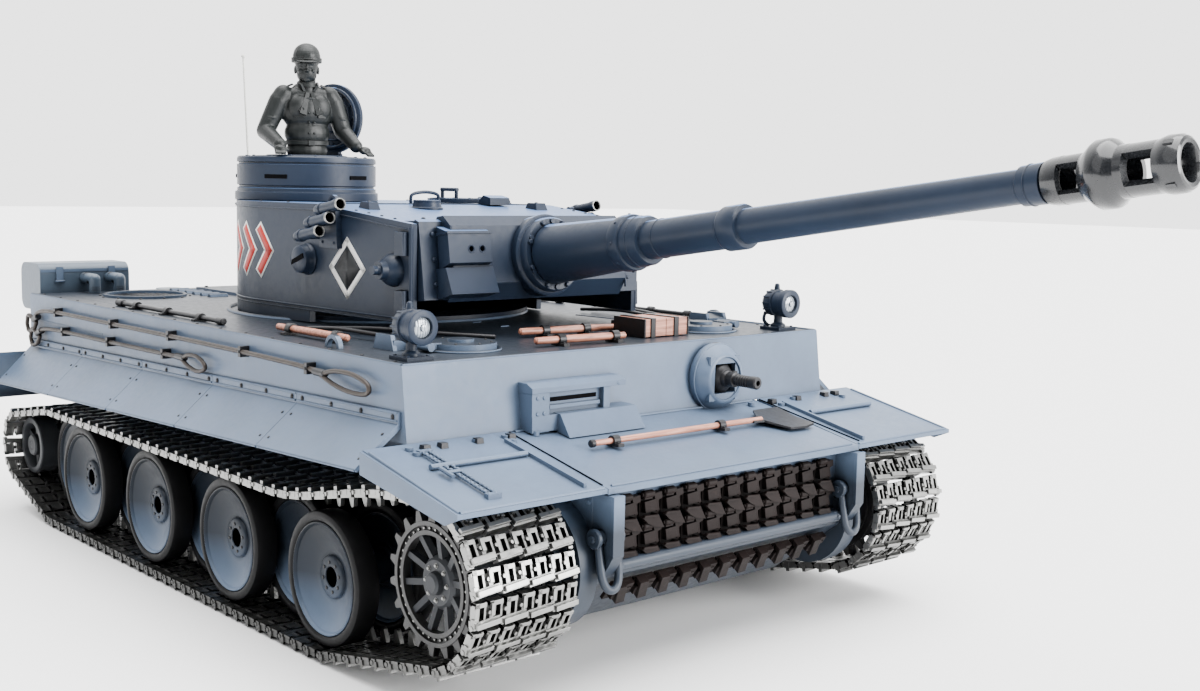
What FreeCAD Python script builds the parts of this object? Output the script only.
import FreeCAD, Part
import math
import os
import re

# Remote-control heavy tank, 1/16 size. Millimetres, +X ahead, +Y to the tank's left, +Z up, ground at z = 0.
# Everything is laid out from the turret's turning axis (x = 0); node() then moves each piece by shift_x,
# so that the whole tank, gun included, is centred on the origin.

DOC = FreeCAD.newDocument("rc_tank")
V = FreeCAD.Vector

DIMS = {
    "shift_x": -92.4,
    # hull
    "tub_half": 60, "tub_floor": 13, "tub_rear": -142, "wall": 2.5,
    "side_half": 98.5, "deck_low": 75.5, "deck_top": 99.5, "plate_top": 162.8, "plate_low": 165.8,
    "nose_front": 215, "nose_edge": 65.5, "nose_face": 208, "nose_knee": 36, "belly_front": 178,
    "ring_hole": 50, "fan_radius": 17, "fan_side": 58, "fan_place": -108,
    "guard_half": 114.5, "guard_thick": 1.4, "skirt_half": 115,
    # running gear
    "axle_count": 8, "axle_first": 130, "axle_step": 32.2, "axle_height": 27, "wheel_radius": 22.2,
    "rim_radius": 18.6, "hub_radius": 6.5, "pin_radius": 2, "bore_play": 0.05,
    "outer_face": 107, "outer_width": 8.5, "inner_face": 97.5, "disc_width": 4.6, "disc_gap": 2.8,
    "rear_face": 84.5, "rear_width": 8.5,
    "sprocket_place": 190, "sprocket_height": 39, "sprocket_rim": 18.5, "tooth_tip": 21.8, "tooth_count": 18,
    "sprocket_outer": 106.5, "sprocket_inner": 78.5, "ring_width": 3,
    "idler_place": -134, "idler_height": 30, "idler_radius": 13,
    # tracks
    "track_mid": 91, "track_width": 38, "track_gap": 0.3, "link_pitch": 8.1, "link_thick": 2.6,
    "cleat": 1.4, "horn_height": 4.6, "horn_width": 1.6, "sprocket_wrap": 23, "idler_wrap": 13.4,
    # turret
    "turret_low": 100, "turret_top": 145.8, "turret_front_top": 139.7, "turret_radius": 60,
    "cheek_front": 104, "cheek_half": 54.8, "roof_end": 95.5, "roof_break": 45,
    "cupola_x": -15.8, "cupola_y": -26.4, "cupola_radius": 29, "cupola_top": 164.2, "hatch_radius": 15,
    "lid_turn": 112, "lid_reach": 17.5,
    # gun
    "trunnion_x": 92, "trunnion_z": 125.6, "elevation": 8.2, "mantlet_half": 51.8, "mantlet_back": 9,
    "mantlet_front": 19, "mantlet_height": 15.5, "bore_radius": 2.6,
}

SHEET = DOC.addObject("Spreadsheet::Sheet", "dims")
for row, (alias, value) in enumerate(DIMS.items(), start=1):
    SHEET.set(f"A{row}", alias)
    SHEET.set(f"B{row}", str(value))
    SHEET.setAlias(f"B{row}", alias)
DOC.recompute()

NODES = []
TURNS = {
    "z": FreeCAD.Rotation(),
    "x": FreeCAD.Rotation(V(0, 1, 0), 90),
    "y": FreeCAD.Rotation(V(1, 0, 0), -90),
}


def d(name):
    """A driving dimension from the sheet."""
    return float(SHEET.get(name))


def bind(obj, prop, rule):
    """Tie a property to the sheet: a rule is a number or a formula of the sheet's names."""
    names = sorted(DIMS, key=len, reverse=True)
    pattern = r"\b(" + "|".join(names) + r")\b"
    obj.setExpression(prop, re.sub(pattern, r"dims.\1", str(rule)))


def prim(kind, at, axis="z", turn=None, **sizes):
    """A Part primitive standing at a place, its own Z laid along axis."""
    obj = DOC.addObject("Part::" + kind, kind.lower())
    obj.Placement = FreeCAD.Placement(V(), turn or TURNS[axis])
    for prop, rule in sizes.items():
        bind(obj, prop, rule)
    for letter, rule in zip("xyz", at):
        bind(obj, "Placement.Base." + letter, rule)
    return obj


def block(x0, x1, y0, y1, z0, z1):
    """A box between two corners."""
    return prim("Box", (x0, y0, z0), Length=f"({x1})-({x0})", Width=f"({y1})-({y0})", Height=f"({z1})-({z0})")


def rod(at, radius, height, axis="z", turn=None):
    return prim("Cylinder", at, axis, turn, Radius=radius, Height=height)


def cone(at, radius1, radius2, height, axis="z", turn=None):
    return prim("Cone", at, axis, turn, Radius1=radius1, Radius2=radius2, Height=height)


def fuse(*objs):
    obj = DOC.addObject("Part::MultiFuse", "fuse")
    obj.Shapes = list(objs)
    return obj


def cut(base, *tools):
    obj = DOC.addObject("Part::Cut", "cut")
    obj.Base = base
    obj.Tool = tools[0] if len(tools) == 1 else fuse(*tools)
    return obj


def mirrored(source):
    """The same piece on the tank's other side."""
    obj = DOC.addObject("Part::Mirroring", "mirrored")
    obj.Source = source
    obj.Normal = V(0, 1, 0)
    return obj


def pair(source):
    return [source, mirrored(source)]


def built(shape, name):
    """A Part::Feature for a shape that no primitive fits."""
    obj = DOC.addObject("Part::Feature", name)
    obj.Shape = shape
    return obj


def node(label, *objs):
    """One named sub-part: its pieces together, moved into the shared frame."""
    obj = DOC.addObject("Part::Compound", label)
    obj.Label = label
    obj.Links = list(objs)
    bind(obj, "Placement.Base.x", "shift_x")
    NODES.append(obj)
    return obj


def prism(points, across, plane):
    """A closed outline pulled across a span: plane names the outline's two axes."""
    low, high = across
    place = {"xz": lambda a, b: V(a, low, b), "xy": lambda a, b: V(a, b, low), "yz": lambda a, b: V(low, a, b)}
    reach = {"xz": V(0, high - low, 0), "xy": V(0, 0, high - low), "yz": V(high - low, 0, 0)}
    corners = [place[plane](a, b) for a, b in points]
    wire = Part.makePolygon(corners + corners[:1])
    return Part.Face(wire).extrude(reach[plane])


def ring_shape(middle, outer, inner, height, way=V(0, 0, 1)):
    return Part.makeCylinder(outer, height, middle, way).cut(Part.makeCylinder(inner, height, middle, way))


def axle_places():
    return [d("axle_first") - i * d("axle_step") for i in range(int(d("axle_count")))]


# ---------------------------------------------------------------- hull

def hull_tub():
    """Lower hull: an open tub with a stepped nose, drive housings and the pulling ears."""
    half, wall, low, top = d("tub_half"), d("wall"), d("tub_floor"), d("deck_low")
    rear, face, knee, belly = d("tub_rear"), d("nose_face"), d("nose_knee"), d("belly_front")
    edge = d("nose_edge") - 2.2
    outline = [(rear, top), (rear + 12, low), (belly, low), (face, knee), (face, edge), (164.7, 73.6), (164.7, top)]
    inner = [(rear + wall, top + 1), (rear + 12 + wall, low + wall), (belly - 1, low + wall)]
    inner += [(face - wall, knee + 1), (face - wall, edge - wall), (160, top - 4), (150, top + 1)]
    tub = prism(outline, (-half, half), "xz").cut(prism(inner, (-half + wall, half - wall), "xz"))
    ear = [(face - 6, edge), (face + 9, edge), (face + 9, 45), (face + 5, 41), (face - 6, 34)]
    for side in (-1, 1):
        start = side * half
        housing = Part.makeCylinder(21, 7, V(d("sprocket_place"), start, d("sprocket_height")), V(0, side, 0))
        cover = Part.makeCylinder(13, 2.5, V(d("sprocket_place"), start + side * 7, d("sprocket_height")),
                                  V(0, side, 0))
        idler_boss = Part.makeCylinder(9, 6, V(d("idler_place"), start, d("idler_height")), V(0, side, 0))
        hole = Part.makeCylinder(2.6, 5, V(face + 4, side * 55.5, 50), V(0, side, 0))
        plate = prism(ear, sorted((side * 56, side * 59.9)), "xz").cut(hole)
        tub = tub.fuse([housing, cover, idler_boss, plate])
    shaft = Part.makeCylinder(2.6, 200, V(d("sprocket_place"), -100, d("sprocket_height")), V(0, 1, 0))
    idler = Part.makeCylinder(2.05, 200, V(d("idler_place"), -100, d("idler_height")), V(0, 1, 0))
    tub = tub.cut([shaft, idler])
    node("hull_tub", built(tub.removeSplitter(), "tub"))


def hull_superstructure():
    """Upper hull: side walls, driver's plate, roof with its openings, glacis and sponson floors."""
    half, wall, low, top = d("side_half"), d("wall"), d("deck_low"), d("deck_top")
    rear, lead, foot = d("tub_rear"), d("plate_top"), d("plate_low")
    body = prism([(rear, low), (foot, low), (lead, top), (rear, top)], (-half, half), "xz")
    inside = prism([(rear + wall, low - 1), (foot - 3.4, low - 1), (lead - 3.4, top - wall), (rear + wall, top - wall)],
                   (-half + wall, half - wall), "xz")
    body = body.cut(inside)
    floor = Part.makeBox(foot - rear - 2, half - d("tub_half"), 2, V(rear, d("tub_half"), low))
    body = body.fuse([floor, floor.mirror(V(), V(0, 1, 0))])
    holes = [Part.makeCylinder(d("ring_hole"), 10, V(0, 0, top - 5))]
    holes += [Part.makeCylinder(11, 10, V(138, side * 58, top - 5)) for side in (-1, 1)]
    holes.append(Part.makeBox(68, 176, 10, V(rear + 4, -88, top - 5)))
    holes.append(Part.makeCylinder(7.6, 20, V(155, 37, 86), V(1, 0, 0)))
    holes.append(Part.makeBox(12, 22, 5, V(155, -46, 86)))
    body = body.cut(holes)
    glacis = [(foot - 1, low), (foot - 1, low - 1.8), (d("nose_front"), d("nose_edge") - 1.8),
              (d("nose_front"), d("nose_edge"))]
    body = body.fuse(prism(glacis, (-d("tub_half"), d("tub_half")), "xz"))
    node("hull_superstructure", built(body.removeSplitter(), "upper_hull"))


def engine_deck():
    """Rear deck plate let into the roof: two round fans under grilles, a middle hatch and louvres."""
    rear, top = d("tub_rear"), d("deck_top")
    plate = Part.makeBox(67.6, 175.6, 2.5, V(rear + 4.2, -87.8, top - 2.5))
    hatch = Part.makeBox(50, 44, 1.4, V(rear + 12, -22, top))
    plate = plate.fuse(hatch)
    for side in (-1, 1):
        middle = V(d("fan_place"), side * d("fan_side"), top - 3)
        plate = plate.cut(Part.makeCylinder(d("fan_radius"), 4, middle))
        bars = []
        for i in range(9):
            offset = (i - 4) * 3.8
            reach = math.sqrt(d("fan_radius") ** 2 - offset ** 2) + 0.6
            bars.append(Part.makeBox(1.1, 2 * reach, 1.4, middle + V(offset - 0.55, -reach, 1.2)))
        plate = plate.fuse(bars + [ring_shape(middle + V(0, 0, 3), d("fan_radius") + 1.6, d("fan_radius"), 1.0)])
    node("engine_deck", built(plate.removeSplitter(), "deck_plate"))


def side_fenders():
    """Long skirts: a strip on the hull side, then a plate sloping out over the track, in five lengths."""
    half, out, thick = d("side_half"), d("skirt_half"), d("guard_thick")
    start, end = -140.0, 163.0
    strips = []
    for i in range(5):
        a = start + (end - start) * i / 5
        b = start + (end - start) * (i + 1) / 5 - 0.25
        rows = []
        for x in (a, b):
            k = (x - start) / (end - start)
            high, low = 75.5 + 6.0 * k, 60.0 + 9.5 * k
            section = [V(x, half, high - thick), V(x, half, high + 3.6), V(x, half + 1.1, high + 3.6),
                       V(x, half + 1.1, high), V(x, out, low), V(x, out - 0.9, low - thick + 0.3)]
            rows.append(Part.makePolygon(section + section[:1]))
        strips.append(Part.makeLoft(rows, True, True))
    objs = []
    for i, strip in enumerate(strips):
        objs.append(built(strip, f"skirt_left_{i}"))
        objs.append(built(strip.mirror(V(), V(0, 1, 0)), f"skirt_right_{i}"))
    node("side_fenders", *objs)


def mudguards():
    """Front guards level with the glacis, with folded outer edges and hinge rods; rear guards and flaps."""
    tub, out, thick = d("tub_half"), d("guard_half"), d("guard_thick")
    low, foot, nose, edge = d("deck_low"), d("plate_low"), d("nose_front"), d("nose_edge")
    slope = (edge - low) / (nose - foot)
    front = [(foot + 0.4, low + 0.3), (foot + 0.4, low - thick + 0.3), (nose, edge - thick), (nose, edge)]
    guard = prism(front, (tub + 0.3, out), "xz")
    fold = prism([(foot + 0.4, low), (foot + 0.4, low - 7), (nose - 6, edge - 4), (nose, edge - thick), (nose, edge)],
                 (out, out + 1.0), "xz")
    hinge = Part.makeCylinder(0.9, 36, V(186, tub + 8, low + slope * 20.2 + 1.2), V(0, 1, 0))
    seam = prism([(foot + 8, low + slope * 8 + 1.5), (foot + 8, low + slope * 8 - 0.2),
                  (nose - 3, edge - slope * 3 - 0.2), (nose - 3, edge - slope * 3 + 1.5)], (tub + 6, tub + 7.2), "xz")
    guard = guard.fuse([fold, hinge, seam])
    rear = [(-142, 73), (-142, 71.6), (-155, 56), (-156.3, 50), (-157.5, 50), (-156.2, 56.6)]
    back = prism(rear, (tub + 1, d("skirt_half")), "xz")
    shapes = [guard, back]
    objs = [built(s, "guard") for s in shapes]
    objs += [built(s.mirror(V(), V(0, 1, 0)), "guard") for s in shapes]
    node("mudguards", *objs)


def front_armour(y0, y1):
    """The space behind the driver's plate and under the glacis, between two values of y."""
    return prism([(d("plate_top") + 0.02, d("deck_top")), (d("plate_low") + 0.045, d("deck_low") - 0.2),
                  (d("nose_front"), d("nose_edge")), (d("nose_front"), 50), (150, 50), (150, d("deck_top"))],
                 (y0, y1), "xz")


def driver_visor():
    """The thick visor block with its recessed slit, top plate and lower wedge, bolted to the front plate."""
    face = d("plate_low") - 0.9
    upper = prism([(face - 1.4, 91), (face + 3.6, 91), (face + 6.5, 89.4), (face + 6.5, 78.6), (face, 77)],
                  (-54, -20), "xz")
    plate = prism([(face - 1.4, 91), (face + 3.6, 91), (face + 6.5, 89.4), (face + 6.5, 87.6), (face, 86)],
                  (-20, -13), "xz")
    wedge = prism([(face, 78.6), (face + 8.4, 78.2), (face + 13.2, 74.6), (face, 76.4)], (-43, -9), "xz")
    recess = Part.makeBox(6, 23.9, 8.4, V(face + 4.4, -46.6, 80.3))
    slit = Part.makeBox(3, 20, 1.4, V(face + 2.4, -44.6, 84.6))
    body = upper.fuse([plate, wedge]).cut([recess, slit, front_armour(-70, 0)])
    node("driver_visor", built(body.removeSplitter(), "visor"))


def mg_collar():
    """The round armoured collar of the bow gun, with a socket for its ball."""
    middle = V(d("plate_low") - 2.2, 37, 86)
    dome = Part.makeSphere(14, middle - V(6, 0, 0)).common(Part.makeBox(20, 40, 40, middle - V(0.6, 20, 20)))
    socket = Part.makeSphere(7.2, middle + V(2.5, 0, 0))
    mouth = Part.makeBox(20, 11, 11, middle + V(2, -5.5, -5.5))
    tunnel = Part.makeCylinder(7.2, 10, middle - V(7.5, 0, 0), V(1, 0, 0))
    shape = dome.cut([socket, mouth, tunnel, front_armour(10, 70)])
    node("mg_collar", built(shape, "collar"))


def hull_mg():
    """The bow gun: a ball with its barrel and sight hole, free to swing in the collar."""
    middle = V(d("plate_low") + 0.3, 37, 86)
    ball = Part.makeSphere(6.8, middle)
    barrel = Part.makeCylinder(1.9, 15.5, middle + V(5.5, 0, 0), V(1, 0, 0))
    jacket = Part.makeCylinder(2.6, 5, middle + V(5.5, 0, 0), V(1, 0, 0))
    bore = Part.makeCylinder(0.9, 6, middle + V(15.5, 0, 0), V(1, 0, 0))
    ball = ball.common(Part.makeBox(14, 11.6, 20, middle - V(5.4, 5.8, 10)))
    pivot = Part.makeCylinder(0.8, 20, middle - V(0, 0, 10))
    node("hull_mg", built(ball.fuse([barrel, jacket]).cut([bore, pivot]).removeSplitter(), "ball_gun"))


def roof_hatches():
    """Driver's and radio operator's round lids, each on a hinge beside its opening."""
    for label, side in (("driver_hatch", -1), ("radio_hatch", 1)):
        y = side * 58
        lid = rod((138, y, "deck_top+0.4"), 12.2, 2.2)
        boss = rod((138, y, "deck_top+2"), 4.5, 1.6)
        low, high = sorted((y + side * 10, y + side * 15.4))
        arm = block(135, 141, low, high, "deck_top+0.9", "deck_top+3")
        barrel = rod((133, y + side * 15.4, "deck_top+1.9"), 1.4, 10, "x")
        node(label, fuse(lid, boss, arm, barrel))


def headlamps():
    """Two lamps on posts: cylinder body, hood ring and nub, on bolted square bases."""
    bodies, lenses = [], []
    for side in (-1, 1):
        x, y = 152, side * 87.5
        base = block(x - 5, x + 5, y - 5, y + 5, "deck_top", "deck_top+1.4")
        post = rod((x, y, "deck_top+1"), 1.6, 6)
        case = rod((x - 6, y, "deck_top+10.5"), 5.0, 11.5, "x")
        rim = rod((x + 4.2, y, "deck_top+10.5"), 5.6, 2.4, "x")
        nub = rod((x - 1, y, "deck_top+14.6"), 1.4, 2.4)
        recess = rod((x + 4.9, y, "deck_top+10.5"), 4.4, 3, "x")
        bodies.append(cut(fuse(base, post, case, rim, nub), recess))
        lenses.append(rod((x + 4.9, y, "deck_top+10.5"), 4.35, 1.3, "x"))
    node("headlamps", *bodies)
    node("headlamp_lenses", *lenses)


def air_filters():
    """Rounded filter boxes on the rear corners, each with two hoses to the deck."""
    objs = []
    for side in (-1, 1):
        low, high = sorted((side * 50, side * 93))
        case = Part.makeBox(24, high - low, 22, V(-168, low, 91))
        upright = [e for e in case.Edges if abs(e.tangentAt(0).y) > 0.9]
        case = case.makeFillet(5, upright)
        foot = Part.makeBox(4, 20, 8, V(-144.4, (low + high) / 2 - 10, 88))
        case = case.fuse(foot).cut(Part.makeBox(10, 30, 20, V(-142, (low + high) / 2 - 15, 80)))
        objs.append(built(case.removeSplitter(), "filter_box"))
        for turn in (0, 1):
            y = side * (60 + 12 * turn)
            hose = Part.makeCylinder(2.6, 12, V(-143.9, y, 106), V(1, 0, 0))
            bend = Part.makeSphere(2.6, V(-131.9, y, 106))
            drop = Part.makeCylinder(2.6, 6.4, V(-131.9, y, 106), V(0, 0, -1))
            objs.append(built(hose.fuse([bend, drop]).removeSplitter(), "hose"))
    node("air_filters", *objs)


def exhausts():
    """Two upright exhaust pipes with caps and half-round guards on the rear plate."""
    objs = []
    for side in (-1, 1):
        x, y = -151, side * 26
        pipe = rod((x, y, 62), 5.4, 34)
        cap = rod((x, y, 96), 6.6, 3)
        foot = block("tub_rear-6", "tub_rear", y - 4, y + 4, 66, 72)
        guard = rod((x, y, 58), 8.6, 30)
        inside = rod((x, y, 57), 7.4, 32)
        opening = block("tub_rear-4", -130, y - 12, y + 12, 50, 95)
        shield = cut(guard, inside, opening)
        link = block(x - 8, x - 5, y - 1.5, y + 1.5, 72, 76)
        objs.append(fuse(pipe, cap, foot, shield, link))
    node("exhausts", *objs)


# ---------------------------------------------------------------- fittings on the hull

def link_row(count, x, z, lean, start, step):
    """A row of spare links on the nose, each a plate with two pads and a raised pin eye."""
    rows = []
    for i in range(count):
        plate = Part.makeBox(2.4, step - 0.5, 9.6, V(0, 0, -4.8))
        pad = Part.makeBox(2.2, step - 2.6, 3.4, V(2.2, 1, -4.2))
        eye = Part.makeCylinder(1.5, step - 0.5, V(2.4, 0, 2.4), V(0, 1, 0))
        link = plate.fuse([pad, eye])
        link.rotate(V(), V(0, 1, 0), lean)
        link.translate(V(x, start + i * step, z))
        rows.append(built(link.removeSplitter(), "spare_link"))
    return rows


def nose_fittings():
    """Spare track links on the nose, the bar that holds them, and the four pulling shackles."""
    face = d("nose_face") + 0.05
    objs = link_row(11, face, 57.2, 0, -51.2, 9.4)
    objs += link_row(11, face, 47.2, 0, -51.2, 9.4)
    objs += link_row(11, face - 3.1, 31.4, 38, -51.2, 9.4)
    node("spare_track_links", *objs)
    bar = rod(("nose_face+3.4", -54, 40.2), 1.9, 108, "y")
    feet = [block("nose_face+0.05", "nose_face+4", y, y + 3, 38.6, 41.8) for y in (-54, 51)]
    node("link_retaining_bar", fuse(bar, *feet))
    shackles = []
    for side in (-1, 1):
        middle = V(d("nose_face") + 4, side * 57.95, 50)
        pin = Part.makeCylinder(2.4, 8.6, middle - V(0, 4.3, 0), V(0, 1, 0))
        legs = []
        for offset in (-3.4, 3.4):
            legs.append(Part.makeCylinder(1.3, 11, middle + V(0, offset, 0), V(0.25, 0, -1)))
        lower = middle + V(2.67, 0, -10.67)
        bow = Part.makeTorus(3.4, 1.15, lower, V(-1, 0, -0.25), 0, 360, 360)
        keep = Part.makeBox(20, 20, 12, lower - V(10, 10, 11.4))
        heads = [Part.makeCylinder(3.2, 1.6, middle + V(0, offset, 0), V(0, 1, 0)) for offset in (-5.2, 3.6)]
        shackles.append(built(pin.fuse(legs + heads + [bow.common(keep)]).removeSplitter(), "shackle"))
    for side in (-1, 1):
        ring = Part.makeTorus(5, 1.3, V(-146.8, side * 42, 34), V(0, 1, 0))
        stem = Part.makeBox(7, 3, 4, V(-143.2, side * 42 - 1.5, 38.2))
        wall = prism([(-142, 75.5), (-130, 13), (-100, 13), (-100, 75.5)], (-60, 60), "xz")
        shackles.append(built(ring.fuse(stem).cut(wall).removeSplitter(), "rear_shackle"))
    node("tow_shackles", *shackles)


def cable(points, radius, loops):
    """A cable along a chain of tangent runs and arcs, with an eye at each end named in loops."""
    pipe = Part.makeCylinder(radius, (points[1] - points[0]).Length, points[0], points[1] - points[0])
    for a, b in zip(points[1:-1], points[2:]):
        pipe = pipe.fuse([Part.makeSphere(radius, a), Part.makeCylinder(radius, (b - a).Length, a, b - a)])
    for point, offset in loops:
        pipe = pipe.fuse(Part.makeTorus(4.2, radius, point + offset, V(0, 1, 0)))
    return pipe


def tow_cables():
    """Two steel cables clipped along the right side, with eyes, and one along the left side."""
    y = d("side_half") + 2.4
    objs = []
    runs = {
        "long": ([V(-132, -y, 88), V(-118, -y, 93.5), V(40, -y, 94.5), V(128, -y, 92.5), V(144, -y, 89.5)],
                 [(V(-132, -y, 88), V(-3.4, 0, -2.4)), (V(144, -y, 89.5), V(4.2, 0, -1.2))]),
        "short": ([V(-128, -y, 82), V(-112, -y, 85.8), V(10, -y, 86.5), V(30, -y, 83.6)],
                  [(V(30, -y, 83.6), V(4.0, 0, 1.4))]),
    }
    for points, loops in runs.values():
        objs.append(built(cable(points, 1.15, loops), "cable"))
    left_points = [V(p.x, y, p.z) for p in runs["long"][0]]
    left_loops = [(V(p.x, y, p.z), o) for p, o in runs["long"][1]]
    objs.append(built(cable(left_points, 1.15, left_loops), "cable"))
    node("tow_cables", *objs)


def tools():
    """Stowed tools: spade on the glacis, bars and hammer on the roof, jack block and clips."""
    slope = math.atan2(d("deck_low") - d("nose_edge"), d("nose_front") - d("plate_low"))
    along = 188
    lift = d("deck_low") - math.tan(slope) * (along - d("plate_low"))
    handle = Part.makeCylinder(1.2, 81, V(along, -42.5, lift + 2.4), V(0, 1, 0))
    top = d("deck_top")
    wood = [handle]
    wood.append(Part.makeCylinder(1.3, 44, V(122, -20, top + 2.2), V(0.12, 1, 0)))
    wood.append(Part.makeCylinder(1.3, 40, V(148, -34, top + 2.2), V(0.06, 1, 0)))
    wood.append(Part.makeCylinder(1.3, 46, V(62, -84, top + 2.2), V(1, 0.02, 0)))
    wood.append(Part.makeBox(16, 22, 6.4, V(132, 18, top + 0.5)))
    node("tool_handles", *[built(s, "wood") for s in wood])
    steel = []
    blade = Part.makeBox(20, 18, 1.2, V(-9, 0, -0.6))
    blade = blade.fuse(Part.makeCylinder(1.9, 9, V(0, -6, 0.4), V(0, 1, 0)))
    blade.rotate(V(), V(0, 1, 0), math.degrees(slope))
    blade.translate(V(along, 39, lift + 2.2))
    blade = blade.cut(Part.makeCylinder(1.2, 81, V(along, -42.5, lift + 2.4), V(0, 1, 0)))
    steel.append(blade)
    for y in (-34, 16):
        clip = ring_shape(V(along, y, lift + 2.4), 2.1, 1.2, 3, V(0, 1, 0))
        foot = Part.makeBox(5, 3, 1.6, V(along - 2.5, y, lift + 0.1))
        clip = clip.fuse(foot).cut([Part.makeCylinder(1.2, 4, V(along, y - 0.5, lift + 2.4), V(0, 1, 0)),
                                    prism([(160, d("deck_low") + 1.13), (222, 64.1), (222, 50), (160, 50)],
                                          (-60, 60), "xz")])
        steel.append(clip.removeSplitter())
    steel.append(Part.makeBox(7, 4, 4.4, V(123.9, 24.1, top + 0.4)).cut(
        [Part.makeCylinder(1.3, 44, V(122, -20, top + 2.2), V(0.12, 1, 0)),
         Part.makeBox(16, 22, 6.4, V(132, 18, top + 0.5))]))
    steel.append(Part.makeCylinder(1.0, 96, V(-66, -89, top + 1.4), V(1, 0, 0)))
    steel.append(Part.makeCylinder(1.0, 80, V(-60, 88, top + 1.4), V(1, 0, 0)))
    steel.append(Part.makeCylinder(1.0, 74, V(40, 90, top + 1.4), V(1, 0, 0)))
    for x, y in ((-50, -89), (10, -89), (-45, 88), (5, 88), (60, 90), (100, 90)):
        clamp = Part.makeBox(3, 4.4, 3, V(x, y - 2.2, top)).cut(Part.makeCylinder(1.0, 400, V(-200, y, top + 1.4),
                                                                                 V(1, 0, 0)))
        steel.append(clamp)
    for x in (70, 100):
        clamp = Part.makeBox(3, 4.8, 4, V(x, -84 + 0.02 * (x - 62) - 2.4, top))
        steel.append(clamp.cut(Part.makeCylinder(1.3, 46, V(62, -84, top + 2.2), V(1, 0.02, 0))))
    for y in (-24, 0):
        clamp = Part.makeBox(4.8, 3, 4, V(148 + 0.06 * (y + 34) - 2.4, y, top))
        steel.append(clamp.cut(Part.makeCylinder(1.3, 40, V(148, -34, top + 2.2), V(0.06, 1, 0))))
    for y in (-10, 8):
        clamp = Part.makeBox(4.8, 3, 4, V(122 + 0.12 * (y + 20) - 2.4, y, top))
        steel.append(clamp.cut(Part.makeCylinder(1.3, 44, V(122, -20, top + 2.2), V(0.12, 1, 0))))
    for y in (21, 33):
        strap = Part.makeBox(17.6, 2.4, 7.2, V(131.2, y, top)).cut(Part.makeBox(16, 22, 6.4, V(132, 18, top + 0.5)))
        strap = strap.cut(Part.makeBox(16, 2.4, 0.6, V(132, y, top)))
        steel.append(strap)
    node("tool_heads", *[built(s, "steel") for s in steel])


def hull_roof_fittings():
    """Periscope hoods, lifting eyes, a coil of bolts on the guards and the aerial's foot."""
    top = d("deck_top")
    objs = []
    for side in (-1, 1):
        hood = prism([(120, top), (131, top), (131, top + 3.4), (124, top + 4.6), (120, top + 1.5)],
                     sorted((side * 70, side * 80)), "xz")
        objs.append(built(hood, "periscope_hood"))
        bent = ring_shape(V(112, side * 92, top), 4.4, 3.0, 1.8, V(0, 1, 0))
        objs.append(built(bent.common(Part.makeBox(12, 400, 8, V(106, -200, top))), "lifting_eye"))
    slope = (d("nose_edge") - d("deck_low")) / (d("nose_front") - d("plate_low"))
    for side in (-1, 1):
        for offset in (5, 9):
            for y in (52, 64.5, 76, 95, 101):
                z = d("deck_low") + slope * (offset + 0.4) - 0.2
                bolt = Part.makeCylinder(1.3, 1.6, V(d("plate_low") + offset, side * y, z))
                high, low = (76.46, 64.11) if y < d("tub_half") else (77.12, 64.03)
                under = prism([(160, high), (222, low), (222, 40), (160, 40)], (-120, 120), "xz")
                if offset == 5 or y in (64.5, 101):
                    objs.append(built(bolt.cut(under), "bolt"))
    node("hull_roof_fittings", *objs)


def antenna():
    """A thin rod aerial with a ball tip, in a foot on the rear deck."""
    foot = rod((-134.4, 12, "deck_top"), 2.6, 5)
    lean = FreeCAD.Rotation(V(0, 0, 1), V(-0.03, -0.03, 1))
    mast = cone((-134.4, 12, "deck_top+4"), 0.7, 0.45, 112, turn=lean)
    tip = V(-134.4, 12, d("deck_top") + 4) + lean.multVec(V(0, 0, 112))
    ball = prim("Sphere", (tip.x, tip.y, tip.z), Radius=0.95)
    node("antenna", fuse(foot, mast, ball))


# ---------------------------------------------------------------- inside the hull

def drive_units():
    """Two motor and gearbox blocks that turn the front sprockets."""
    objs = []
    for side in (-1, 1):
        low, high = sorted((side * 8, side * 57.2))
        case = block(150, 196, low, high, 31, 52)
        motor = rod((112, side * 30, 36), 11, 38, "x")
        bore = rod(("sprocket_place", min(0, side * 60), "sprocket_height"), 2.6, 60, "y")
        objs.append(cut(fuse(case, motor), bore))
    node("drive_units", *objs)


def electronics():
    """Battery pack, control board with its parts, and a loudspeaker in the hull floor."""
    node("battery_pack", block(-60, 40, -24, 24, "tub_floor+wall", 42))
    board = block(-60, 30, -40, 40, 60, 61.6)
    chips = [block(x, x + 14, y, y + 10, 61.6, 65) for x, y in ((-50, -30), (-20, -5), (0, 15))]
    posts = [rod((x, y, "tub_floor+wall"), 2.4, "60-tub_floor-wall") for x in (-57, 27) for y in (-36, 36)]
    drum = rod((-105, 0, "tub_floor+wall"), 18, 12)
    magnet = rod((-105, 0, "tub_floor+wall+12"), 10, 8)
    node("sound_and_control_board", fuse(board, *chips, *posts), fuse(drum, magnet))


# ---------------------------------------------------------------- running gear

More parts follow.
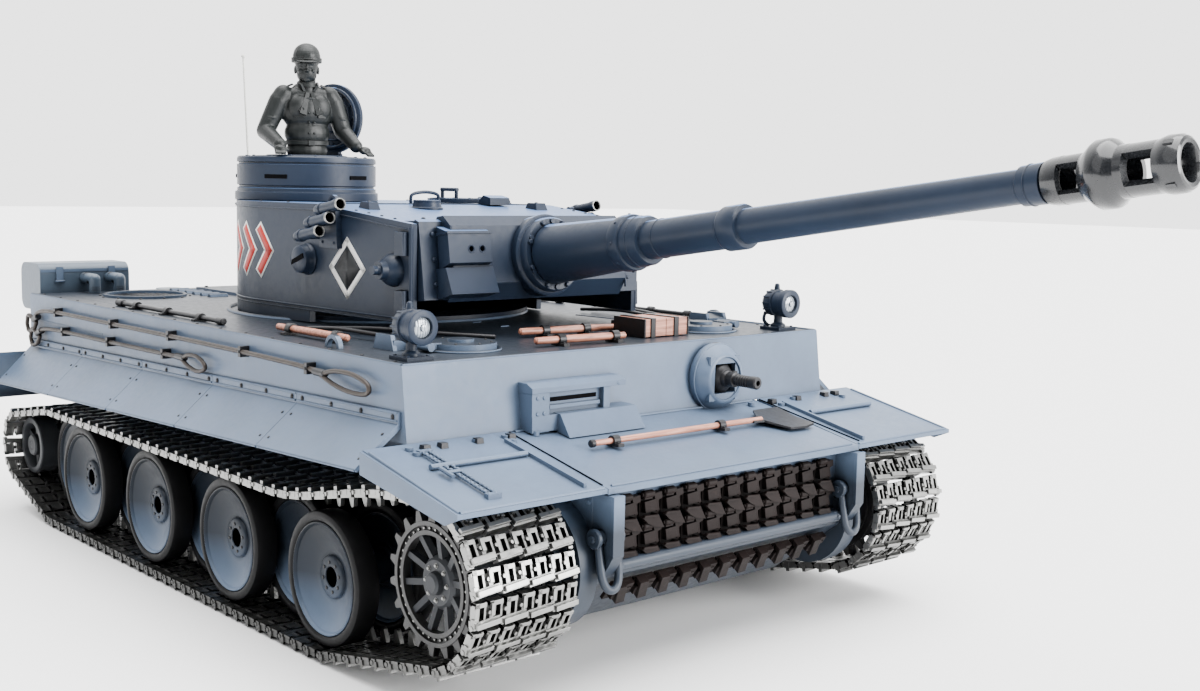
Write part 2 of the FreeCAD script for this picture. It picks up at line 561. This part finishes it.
def swing_arms():
    """One sprung arm with a stub axle for each wheel station, and the idler's axles."""
    objs = []
    for i, x in enumerate(axle_places()):
        reach = 103 if i % 2 == 0 else 96
        arm = prism([(x + 3.4, 24), (x + 3.4, 30), (x + 15, 40), (x + 20, 36), (x + 20, 31)], (60, 64.5), "xz")
        arm = arm.fuse(Part.makeCylinder(5, 4.5, V(x, 60, d("axle_height")), V(0, 1, 0)))
        stub = Part.makeCylinder(d("pin_radius"), reach - 60, V(x, 60, d("axle_height")), V(0, 1, 0))
        mount = Part.makeCylinder(5, 4.5, V(x + 17, 60, 35), V(0, 1, 0))
        arm = arm.fuse([stub, mount]).removeSplitter()
        objs.append(built(arm, "arm"))
        objs.append(built(arm.mirror(V(), V(0, 1, 0)), "arm"))
    pin = Part.makeCylinder(d("pin_radius"), 44, V(d("idler_place"), 58.5, d("idler_height")), V(0, 1, 0))
    objs.append(built(pin, "idler_axle"))
    objs.append(built(pin.mirror(V(), V(0, 1, 0)), "idler_axle"))
    node("swing_arms", *objs)


def dished_disc(x, z, near, far, radius, rim, hub, pin):
    """A dished road-wheel disc with its tyre between two faces, bored for the axle; near is the outer face."""
    width = near - far
    tyre = Part.makeCylinder(radius, width, V(x, far, z), V(0, 1, 0))
    tyre = tyre.makeFillet(0.9, [e for e in tyre.Edges if isinstance(e.Curve, Part.Circle)])
    dish = Part.makeCone(hub + 1.5, rim, 3.0, V(x, near - 3.0, z), V(0, 1, 0))
    boss = Part.makeCylinder(hub, 3.0, V(x, near - 3.2, z), V(0, 1, 0))
    return tyre.cut(dish).fuse(boss)


def road_wheels():
    """Sixteen turning wheels: odd stations carry two discs on a tube, even stations a middle pair in one piece."""
    z, radius, rim, hub = d("axle_height"), d("wheel_radius"), d("rim_radius"), d("hub_radius")
    bore = d("pin_radius") + d("bore_play")
    for i, x in enumerate(axle_places()):
        if i % 2 == 0:
            near, far = d("outer_face"), d("outer_face") - d("outer_width")
            wheel = dished_disc(x, z, near, far, radius, rim, hub, bore)
            inner = Part.makeCylinder(radius, d("rear_width"), V(x, d("rear_face") - d("rear_width"), z), V(0, 1, 0))
            tube = Part.makeCylinder(hub - 1, far - d("rear_face"), V(x, d("rear_face"), z), V(0, 1, 0))
            parts = [wheel, tube, inner]
            start, depth = d("rear_face") - d("rear_width") - 1, 103.4 - d("rear_face") + d("rear_width") + 1
        else:
            near = d("inner_face")
            far = near - 2 * d("disc_width") - d("disc_gap")
            wheel = dished_disc(x, z, near, near - d("disc_width"), radius, rim, hub, bore)
            inner = Part.makeCylinder(radius, d("disc_width"), V(x, far, z), V(0, 1, 0))
            tube = Part.makeCylinder(hub - 1, near - 3.3 - far, V(x, far, z), V(0, 1, 0))
            parts = [wheel.fuse([inner, tube])]
            start, depth = far - 1, 96.4 - far + 1
        seat = Part.makeCylinder(bore, depth, V(x, start, z), V(0, 1, 0))
        parts = [part.cut(seat).removeSplitter() for part in parts]
        node(f"road_wheel_left_{i + 1}", *[built(part, "wheel") for part in parts])
        node(f"road_wheel_right_{i + 1}", *[built(part.mirror(V(), V(0, 1, 0)), "wheel") for part in parts])


def toothed_ring(face):
    """A sprocket ring with short teeth that stay inside the track's wrap."""
    x, z = d("sprocket_place"), d("sprocket_height")
    ring = ring_shape(V(x, face, z), d("sprocket_rim"), d("sprocket_rim") - 5, d("ring_width"), V(0, 1, 0))
    count = int(d("tooth_count"))
    teeth = []
    for i in range(count):
        tooth = prism([(-1.9, d("sprocket_rim") - 1), (1.9, d("sprocket_rim") - 1), (0.8, d("tooth_tip") - 0.05),
                       (-0.8, d("tooth_tip") - 0.05)], (face, face + d("ring_width")), "xz")
        tooth.rotate(V(), V(0, 1, 0), 360.0 * i / count)
        teeth.append(tooth.translated(V(x, 0, z)))
    return ring.fuse(teeth)


def sprockets():
    """Drive sprockets: two toothed rings on a spoked drum, with the shaft into the gearbox."""
    x, z = d("sprocket_place"), d("sprocket_height")
    outer, inner, width = d("sprocket_outer") - d("ring_width"), d("sprocket_inner"), d("ring_width")
    wheel = toothed_ring(outer).fuse(toothed_ring(inner))
    drum = Part.makeCone(8, 14.5, 5, V(x, outer - 3.4, z), V(0, 1, 0))
    core = Part.makeCylinder(9, outer - inner, V(x, inner, z), V(0, 1, 0))
    web = Part.makeCylinder(14.5, 2.2, V(x, inner, z), V(0, 1, 0))
    face = Part.makeCylinder(14.5, 2.0, V(x, outer, z), V(0, 1, 0))
    holes = []
    for i in range(10):
        turn = math.radians(36 * i)
        middle = V(x + 11.2 * math.cos(turn), inner - 1, z + 11.2 * math.sin(turn))
        holes.append(Part.makeCylinder(1.9, 40, middle, V(0, 1, 0)))
    shaft = Part.makeCylinder(2.55, outer - 40, V(x, 40, z), V(0, 1, 0))
    cap = Part.makeCylinder(5, 3.4, V(x, outer + 0.6, z), V(0, 1, 0))
    wheel = wheel.fuse([core, web, face]).cut(holes).fuse([shaft, cap]).removeSplitter()
    node("sprocket_left", built(wheel, "sprocket"))
    node("sprocket_right", built(wheel.mirror(V(), V(0, 1, 0)), "sprocket"))


def idlers():
    """Rear idlers: two open rings on a hub, turning on a fixed axle."""
    x, z, radius = d("idler_place"), d("idler_height"), d("idler_radius")
    bore = Part.makeCylinder(d("pin_radius") + d("bore_play"), 45, V(x, 70, z), V(0, 1, 0))
    rims = [ring_shape(V(x, y, z), radius, radius - 3, 9, V(0, 1, 0)) for y in (79.5, 93.5)]
    hub = Part.makeCylinder(5, 23, V(x, 79.5, z), V(0, 1, 0))
    spokes = []
    for y in (82.5, 98):
        for i in range(6):
            spoke = Part.makeBox(2.6, 1.8, radius - 2, V(-1.3, y, 1))
            spoke.rotate(V(), V(0, 1, 0), 60 * i)
            spokes.append(spoke.translated(V(x, 0, z)))
    wheel = rims[0].fuse([rims[1], hub] + spokes).cut(bore).removeSplitter()
    node("idler_left", built(wheel, "idler"))
    node("idler_right", built(wheel.mirror(V(), V(0, 1, 0)), "idler"))


def arc(cx, cz, radius, start, end, steps):
    """Points round a circle, angles in degrees from +X towards +Z."""
    points = []
    for i in range(steps + 1):
        turn = math.radians(start + (end - start) * i / steps)
        points.append((cx + radius * math.cos(turn), cz + radius * math.sin(turn)))
    return points


def track_path():
    """The closed line of the track's inner face: ground run, idler, run over the wheels, sprocket."""
    z, wrap = d("axle_height"), d("wheel_radius") + d("track_gap")
    first, last = axle_places()[0], axle_places()[-1]
    sx, sz, sr = d("sprocket_place"), d("sprocket_height"), d("sprocket_wrap")
    ix, iz, ir = d("idler_place"), d("idler_height"), d("idler_wrap")
    path = arc(first, z, wrap, 285, 270, 6)
    path += arc(last, z, wrap, 270, 243, 8)
    path += arc(ix, iz, ir, 243, 106, 24)
    path += arc(last, z, wrap, 100, 90, 4)
    hang = first - 32
    for i in range(25):
        k = i / 24
        rise = (1 - math.cos(math.pi * k)) / 2
        path.append((hang + (sx - 6 - hang) * k, z + wrap + (sz + sr - z - wrap - 0.6) * rise))
    path += arc(sx, sz, sr, 88, -72, 30)
    return path


def spaced(path, pitch):
    """Places along a closed line at an even spacing nearest to pitch: point and heading of each."""
    closed = path + path[:1]
    lengths = [math.dist(a, b) for a, b in zip(closed[:-1], closed[1:])]
    total = sum(lengths)
    count = int(round(total / pitch))
    step = total / count
    places = []
    index, used = 0, 0.0
    for i in range(count):
        goal = i * step
        while used + lengths[index] < goal:
            used += lengths[index]
            index += 1
        k = (goal - used) / lengths[index]
        a, b = closed[index], closed[index + 1]
        places.append((a[0] + (b[0] - a[0]) * k, a[1] + (b[1] - a[1]) * k, math.atan2(b[1] - a[1], b[0] - a[0])))
    return places


def track_link():
    """One link at the origin: its inner face up, the ground side down, running along X."""
    half, thick = d("track_width") / 2, d("link_thick")
    plate = Part.makeBox(6.2, 2 * half, thick, V(-3.1, -half, -thick - 0.5))
    cleat = Part.makeBox(2.2, 2 * half, d("cleat"), V(-1.1, -half, -thick - 0.5 - d("cleat")))
    horn = prism([(-1.8, -0.6), (1.8, -0.6), (0.7, d("horn_height")), (-0.7, d("horn_height"))],
                 (0.5 - d("horn_width") / 2, 0.5 + d("horn_width") / 2), "xz")
    return plate.fuse([cleat, horn]).removeSplitter()


def tracks():
    """Two closed tracks of separate links; each link follows the line of the inner face."""
    link = track_link()
    objs = []
    for x, z, heading in spaced(track_path(), d("link_pitch")):
        piece = link.copy()
        piece.rotate(V(), V(0, 1, 0), 180 - math.degrees(heading))
        objs.append(piece.translated(V(x, 0, z)))
    for label, side in (("track_left", 1), ("track_right", -1)):
        solids = [s.translated(V(0, d("track_mid"), 0)) for s in objs]
        if side < 0:
            solids = [s.mirror(V(), V(0, 1, 0)) for s in solids]
        node(label, *[built(s, "link") for s in solids])


# ---------------------------------------------------------------- turret

def turret_outline(shrink):
    """Plan of the horseshoe wall: a round rear and straight cheeks to the front, moved in by shrink."""
    radius = d("turret_radius") - shrink
    front, half = d("cheek_front"), d("cheek_half") - shrink
    gap = math.hypot(front, half)
    lean = math.atan2(half, front) + math.acos(radius / gap)
    touch = V(radius * math.cos(lean), radius * math.sin(lean), 0)
    low = V(touch.x, -touch.y, 0)
    bow = Part.Arc(touch, V(-radius, 0, 0), low).toShape()
    sides = [Part.makeLine(low, V(front, -half, 0)), Part.makeLine(V(front, -half, 0), V(front, half, 0)),
             Part.makeLine(V(front, half, 0), touch)]
    return Part.Face(Part.Wire([bow] + sides))


def turret_shell():
    """Turret wall and roof in one casting: open front for the gun, open ring below, hatch holes above."""
    low, high, wall = d("turret_low"), d("turret_top"), d("wall")
    body = turret_outline(0).extrude(V(0, 0, high - low)).translated(V(0, 0, low))
    hollow = turret_outline(wall).extrude(V(0, 0, high - low - wall)).translated(V(0, 0, low - 0.01))
    front = d("cheek_front")
    over = prism([(d("roof_break"), high + 0.01), (front + 5, d("turret_front_top")), (front + 5, high + 9),
                  (d("roof_break"), high + 9)], (-70, 70), "xz")
    under = prism([(d("roof_break"), high - wall), (front + 5, d("turret_front_top") - wall), (front + 5, high + 9),
                   (d("roof_break"), high + 9)], (-70, 70), "xz")
    hollow = hollow.cut(under)
    mouth = Part.makeBox(20, 2 * (d("mantlet_half") + 0.5), 60, V(d("roof_end"), -d("mantlet_half") - 0.5, low - 1))
    raised_cheeks = Part.makeBox(80, 160, 4.5, V(40, -80, low - 0.01)).cut(Part.makeCylinder(66, 9, V(0, 0, low - 1)))
    body = body.cut([over, hollow, mouth, raised_cheeks])
    crew = Part.makeCylinder(20, 10, V(d("cupola_x"), d("cupola_y"), high - 5))
    loader = Part.makeCylinder(11, 10, V(26, 22, high - 5))
    body = body.cut([crew, loader])
    floor = turret_outline(wall - 0.2).extrude(V(0, 0, 2)).translated(V(0, 0, low))
    floor = floor.common(Part.makeCylinder(64, 10, V(0, 0, low - 1)))
    body = body.fuse(floor.cut(Part.makeCylinder(44, 20, V(0, 0, low - 5))))
    node("turret_shell", built(body.removeSplitter(), "turret"))


def turret_base_ring():
    """The turning ring: it hangs from the turret floor inside the hull roof's round opening."""
    tube = rod((0, 0, "turret_low-8"), "ring_hole-0.5", 8)
    bore = rod((0, 0, "turret_low-9"), "ring_hole-5", 12)
    node("turret_base_ring", cut(tube, bore))


def stowage_bin():
    """The curved box on the back of the turret, with its lid and a lip."""
    low, high = 113.5, 146.2
    outer = Part.makeCylinder(76, high - low, V(0, 0, low))
    inner = Part.makeCylinder(d("turret_radius") + 0.05, 60, V(0, 0, 90))
    wedge = prism([(-20, 0), (-120, 52), (-120, -52)], (low, high), "xy")
    drum = Part.makeCylinder(d("cupola_radius") + 0.6, 100, V(d("cupola_x"), d("cupola_y"), 90))
    body = outer.common(wedge).cut([inner, drum])
    lip = Part.makeCylinder(77, 1.6, V(0, 0, high - 4)).common(wedge).cut([inner, drum])
    node("stowage_bin", built(body.fuse(lip).removeSplitter(), "bin"))


def cupola():
    """The commander's drum: thick wall with viewing slits, a roof with the hatch hole, and a hinge block."""
    x, y, radius = d("cupola_x"), d("cupola_y"), d("cupola_radius")
    low, high = d("turret_top") + 0.02, d("cupola_top")
    hatch = d("hatch_radius")
    profile = [(hatch, high - 3), (hatch, high + 0.8), (17, high + 0.8), (17, high), (radius - 0.6, high),
               (radius, high - 1.2), (radius, low + 4), (radius + 0.9, low + 3.4), (radius + 0.9, low),
               (radius - 6, low), (radius - 6, high - 3)]
    corners = [V(x + across, y, z) for across, z in profile]
    body = Part.Face(Part.makePolygon(corners + corners[:1])).revolve(V(x, y, 0), V(0, 0, 1), 360)
    body = Part.makeSolid(body) if body.ShapeType != "Solid" else body
    body.rotate(V(x, y, 0), V(0, 0, 1), 52)
    for i in range(5):
        slit = Part.makeBox(12, 9.6, 1.6, V(radius - 7, -4.8, 0))
        slit.rotate(V(), V(0, 0, 1), -56 + 72 * i)
        body = body.cut(slit.translated(V(x, y, low + 9.2)))
    notch = Part.makeBox(6, 9, 3, V(15.0, -4.5, -1.0))
    notch.rotate(V(), V(0, 0, 1), d("lid_turn"))
    body = body.cut(notch.translated(V(x, y, high)))
    node("cupola", built(body, "drum"))


def commander_hatch():
    """The round lid, standing open on its hinge behind the figure, with pads and a grip inside."""
    x, y, reach = d("cupola_x"), d("cupola_y"), d("lid_reach")
    radius = 14.9
    lid = Part.makeCylinder(radius, 2.4, V(0, 0, 0), V(1, 0, 0))
    ring = ring_shape(V(-0.9, 0, 0), radius - 2.5, radius - 4.0, 1.0, V(1, 0, 0))
    grip = Part.makeTorus(3.4, 0.7, V(-0.6, 0, 1), V(1, 0, 0))
    pad = Part.makeCylinder(4.4, 1.2, V(-1.1, 0, -7), V(1, 0, 0))
    arm = Part.makeBox(2.0, 7, 4.6, V(0.2, -3.5, -radius - 1.5))
    body = lid.fuse([ring, grip, pad, arm]).removeSplitter()
    body.translate(V(reach, 0, radius + 1.9))
    body = body.fuse(Part.makeCylinder(0.85, 8.4, V(reach + 1.2, -4.2, 0.8), V(0, 1, 0))).removeSplitter()
    body.rotate(V(), V(0, 0, 1), d("lid_turn"))
    node("commander_hatch", built(body.translated(V(x, y, d("cupola_top") + 0.4)), "lid"))


def commander_figure():
    """Half figure in the hatch: body, shoulders, bent arms to the rim, head and flat cap."""
    x, y, rim = d("cupola_x"), d("cupola_y"), d("cupola_top")
    plug = Part.makeCylinder(d("hatch_radius") - 0.05, 2.2, V(x, y, rim - 2.4))
    waist = Part.makeCylinder(6.2, 10, V(x, y, rim - 1))
    chest = Part.makeLoft([Part.makePolygon([V(x + a, y + b, z) for a, b in ring + ring[:1]])
                           for z, ring in ((rim + 7, octagon(5.4, 8.0)), (rim + 20, octagon(5.8, 10.4)),
                                           (rim + 28, octagon(4.6, 10.0)), (rim + 31, octagon(3.2, 5.0)))], True, True)
    neck = Part.makeCylinder(2.6, 5, V(x, y, rim + 29))
    head = Part.makeSphere(5.2, V(x + 0.4, y, rim + 37.6))
    chin = Part.makeSphere(3.9, V(x + 1.0, y, rim + 34.4))
    cap = Part.makeCylinder(6.0, 3.2, V(x, y, rim + 41.4))
    visor = Part.makeCylinder(4.6, 0.8, V(x + 3.6, y, rim + 41.2))
    pieces = [waist, chest, neck, head, chin, cap, visor]
    for side in (-1, 1):
        shoulder = V(x, y + side * 10.6, rim + 26)
        elbow = V(x + 2.4, y + side * 15.6, rim + 12.5)
        hand = V(x + 13.5, y + side * 13.5, rim + 3.5)
        for a, b, ra, rb in ((shoulder, elbow, 3.7, 3.0), (elbow, hand, 3.0, 2.2)):
            pieces.append(Part.makeCone(ra, rb, (b - a).Length, a, b - a))
            pieces.append(Part.makeSphere(ra, a))
        pieces.append(Part.makeSphere(2.6, hand))
    figure = plug.fuse(pieces)
    figure = figure.cut(Part.makeBox(80, 80, 20, V(x - 40, y - 40, rim - 20 + 1.0)).cut(
        Part.makeCylinder(d("hatch_radius") - 0.05, 60, V(x, y, rim - 40))))
    node("commander_figure", built(figure.removeSplitter(), "figure"))


def octagon(depth, width):
    """An eight-cornered section, depth along X and width along Y."""
    k = 0.55
    return [(depth, width * k), (depth * k, width), (-depth * k, width), (-depth, width * k),
            (-depth, -width * k), (-depth * k, -width), (depth * k, -width), (depth, -width * k)]


def smoke_launchers():
    """Three stepped tubes on a bracket at each cheek, pointing forward and slightly up."""
    objs = []
    wall = turret_outline(0).extrude(V(0, 0, 60)).translated(V(0, 0, 95))
    way = V(0.985, 0, 0.17)
    for side in (-1, 1):
        shapes = [Part.makeBox(13, 3.2, 15, V(49, min(side * 57, side * 60.2), 129.5))]
        for i in range(3):
            start = V(54 - 4.7 * i, side * (62.9 + 1.6 * i), 143.5 - 5.1 * i)
            tube = Part.makeCylinder(2.1, 16.6, start, way).cut(Part.makeCylinder(1.6, 12, start + way * 5, way))
            post = Part.makeCylinder(1.4, 8, start + way * 3, V(0, -side, 0))
            shapes.extend([tube, post])
        whole = shapes[0].fuse(shapes[1:]).cut(wall).removeSplitter()
        objs.append(built(max(whole.Solids, key=lambda solid: solid.Volume), "launcher"))
    node("smoke_launchers", *objs)


def turret_fittings():
    """Ports on the turret wall, cheek plates, roof vent, periscope hood, eyes and hinge bolts."""
    objs = []
    wall = turret_outline(0).extrude(V(0, 0, 60)).translated(V(0, 0, 95))
    roof = d("turret_top")
    for side in (-1, 1):
        slot_port = Part.makeCylinder(5.6, 30, V(39, side * 30, 124.5), V(0, side, 0))
        slot_port = slot_port.common(Part.makeBox(40, 400, 40, V(30, -200, 110))).cut(wall)
        port = slot_port.common(Part.makeBox(60, 63.4, 60, V(20, min(0, side * 63.4), 100)))
        objs.append(built(port, "vision_port"))
        pistol = Part.makeCone(4.8, 3.2, 12, V(93.8, side * 50, 123.4), V(0, side, 0)).cut(wall)
        objs.append(built(pistol.fuse(Part.makeCylinder(1.6, 14.5, V(93.8, side * 50, 123.4), V(0, side, 0)).cut(wall))
                          .removeSplitter(), "pistol_port"))
        for low, height in ((128.8, 8.4), (107, 9.4)):
            plate = Part.makeBox(5.4, 2.0, height, V(97, min(side * 55.0, side * 57.0), low))
            objs.append(built(plate.cut(wall), "cheek_plate"))
    vent = rod((58, -16, "turret_top-4"), 5.4, 6)
    slab = prism([(d("roof_break"), roof + 0.03), (d("cheek_front") + 5, d("turret_front_top") + 0.02),
                  (d("cheek_front") + 5, 90), (d("roof_break"), 90)], (-70, 70), "xz")
    DOC.recompute()
    objs.append(built(vent.Shape.cut(slab), "vent"))
    hood = prism([(44, roof + 0.02), (52, roof + 0.02), (52, roof + 3), (47, roof + 4), (44, roof + 1.4)], (20, 30), "xz")
    objs.append(built(hood.cut(slab), "periscope_hood"))
    for x, y in ((-48, 12), (30, -42), (30, 44)):
        eye = ring_shape(V(x, y, roof), 3.2, 2.0, 1.6, V(0, 1, 0)).common(Part.makeBox(10, 10, 6,
                                                                                      V(x - 5, y - 4, roof + 0.02)))
        objs.append(built(eye, "lifting_eye"))
    node("turret_fittings", *objs)


def loader_hatch():
    """The loader's round lid with its grab handle and hinge, closed."""
    lid = rod((26, 22, "turret_top+0.4"), 12.6, 1.8)
    arm = block(22.5, 29.5, 32, 39, "turret_top+0.6", "turret_top+2.4")
    barrel = rod((20, 38.6, "turret_top+1.7"), 1.3, 12, "x")
    legs = [rod((x, 18, "turret_top+2"), 0.8, 4) for x in (21, 31)]
    grip = rod((20.2, 18, "turret_top+6"), 0.8, 11.6, "x")
    node("loader_hatch", fuse(lid, arm, barrel, grip, *legs))


# ---------------------------------------------------------------- gun

def raised(shape):
    """Tilt a level gun piece up about the trunnion, its own x measured from the trunnion."""
    pivot = V(d("trunnion_x"), 0, d("trunnion_z"))
    piece = shape.translated(pivot)
    piece.rotate(pivot, V(0, 1, 0), -d("elevation"))
    return piece


def mantlet():
    """The gun shield: a wide plate with side strips, sight box with two holes, and a bolted collar."""
    half, back, front, tall = d("mantlet_half"), d("mantlet_back"), d("mantlet_front"), d("mantlet_height")
    plate = prism([(back, -tall + 2), (back, tall - 2), (back + 2.5, tall), (front - 4, tall), (front, tall - 4),
                   (front, -tall + 6), (front - 5, -tall)], (-half + 10, half - 10), "xz")
    shapes = []
    for side in (-1, 1):
        low, high = sorted((side * (half - 11), side * half))
        shapes.append(prism([(back, -tall + 1), (back, tall - 3), (back + 3, tall - 1), (front - 5, tall - 2),
                             (front - 5, -tall + 1)], (low, high), "xz"))
    sight = prism([(front - 4, 11.5), (front + 2.6, 9), (front + 2.6, -2), (front - 4, -4)], (-45, -26), "xz")
    wedge = prism([(front - 6, -3.5), (front + 1.2, -3.5), (front + 4.0, -13.2), (front - 6, -14.6)], (-46, -25), "xz")
    body = Part.makeCylinder(15, 9, V(front - 6, 0, 0), V(1, 0, 0))
    collar = Part.makeCylinder(13.4, 5.4, V(front + 1, 0, 0), V(1, 0, 0))
    shapes += [sight, wedge, body, collar]
    for turn in range(0, 360, 60):
        a = math.radians(turn + 30)
        shapes.append(Part.makeCylinder(1.0, 1.2, V(front + 6.2, 12.3 * math.cos(a), 12.3 * math.sin(a)), V(1, 0, 0)))
    arms = [Part.makeBox(14, 4, 10, V(-4, side * 30 - 2, -5)) for side in (-1, 1)]
    shaft = Part.makeCylinder(3, 104, V(0, -52, 0), V(0, 1, 0))
    holes = [Part.makeCylinder(1.0, 12, V(front - 3, y, 2.9), V(1, 0, 0)) for y in (-35.1, -30.2)]
    tube = Part.makeCylinder(9.0, 60, V(-10, 0, 0), V(1, 0, 0))
    whole = plate.fuse(shapes + arms + [shaft]).cut(holes + [tube])
    node("mantlet", built(raised(whole.removeSplitter()), "shield"))


def gun_barrel():
    """Sleeve, two stepped rings and the long tapering barrel, bored from the muzzle end."""
    front = d("mantlet_front")
    steps = [("rod", -6, front + 2.4, 8.95, 8.95), ("cone", front + 6.4, 66, 11.2, 9.2), ("rod", 66, 70, 9.8, 9.8),
             ("cone", 70, 78, 8.9, 8.6), ("cone", 78, 114, 6.7, 6.5), ("rod", 114, 122, 7.3, 7.3),
             ("cone", 122, 224, 5.7, 4.7), ("rod", 222, 228.9, 5.6, 5.6)]
    shapes = [Part.makeCylinder(8.95, 8, V(front, 0, 0), V(1, 0, 0))]
    for kind, start, end, r1, r2 in steps:
        if kind == "rod":
            shapes.append(Part.makeCylinder(r1, end - start, V(start, 0, 0), V(1, 0, 0)))
        else:
            shapes.append(Part.makeCone(r1, r2, end - start, V(start, 0, 0), V(1, 0, 0)))
    bore = Part.makeCylinder(d("bore_radius"), 120, V(120, 0, 0), V(1, 0, 0))
    barrel = shapes[0].fuse(shapes[1:]).cut(bore)
    node("gun_barrel", built(raised(barrel.removeSplitter()), "barrel"))


def muzzle_brake():
    """Double-baffle brake: neck, wide rear baffle, drum with side windows and a thick front ring."""
    parts = [(229, 233, 5.6, 6.2), (233, 240, 6.2, 6.2), (240, 245, 6.2, 8.9), (245, 249, 8.9, 8.9),
             (249, 252, 8.9, 6.8), (252, 262, 6.8, 6.8), (262, 267.5, 6.8, 6.2)]
    shapes = []
    for start, end, r1, r2 in parts:
        if r1 == r2:
            shapes.append(Part.makeCylinder(r1, end - start, V(start, 0, 0), V(1, 0, 0)))
        else:
            shapes.append(Part.makeCone(r1, r2, end - start, V(start, 0, 0), V(1, 0, 0)))
    bore = Part.makeCylinder(4.3, 40, V(229.02, 0, 0), V(1, 0, 0))
    windows = [Part.makeBox(6.4, 40, 6.4, V(234.5, -20, -3.2)), Part.makeBox(7.4, 40, 6.8, V(253.2, -20, -3.4))]
    body = shapes[0].fuse(shapes[1:]).cut([bore] + windows)
    node("muzzle_brake", built(raised(body.removeSplitter()), "brake"))


def check_and_write():
    DOC.recompute()
    os.makedirs("parts", exist_ok=True)
    for obj in DOC.Objects:
        if "Invalid" in obj.State or "Error" in obj.State:
            raise RuntimeError(f"{obj.Name} {obj.Label} is {obj.State}")
    for obj in NODES:
        if obj.Shape.isNull() or not obj.Shape.isValid() or not obj.Shape.Solids:
            raise RuntimeError(f"{obj.Label} has no valid shape")
        obj.Shape.exportStep(f"parts/{obj.Label}.step")


for make in (hull_tub, hull_superstructure, engine_deck, side_fenders, mudguards, driver_visor, mg_collar, hull_mg,
             roof_hatches, headlamps, air_filters, exhausts, nose_fittings, tow_cables, tools, hull_roof_fittings,
             antenna, drive_units, electronics, swing_arms, road_wheels, sprockets, idlers, tracks, turret_shell,
             turret_base_ring, stowage_bin, cupola, commander_hatch, commander_figure, smoke_launchers,
             turret_fittings, loader_hatch, mantlet, gun_barrel, muzzle_brake):
    make()
check_and_write()
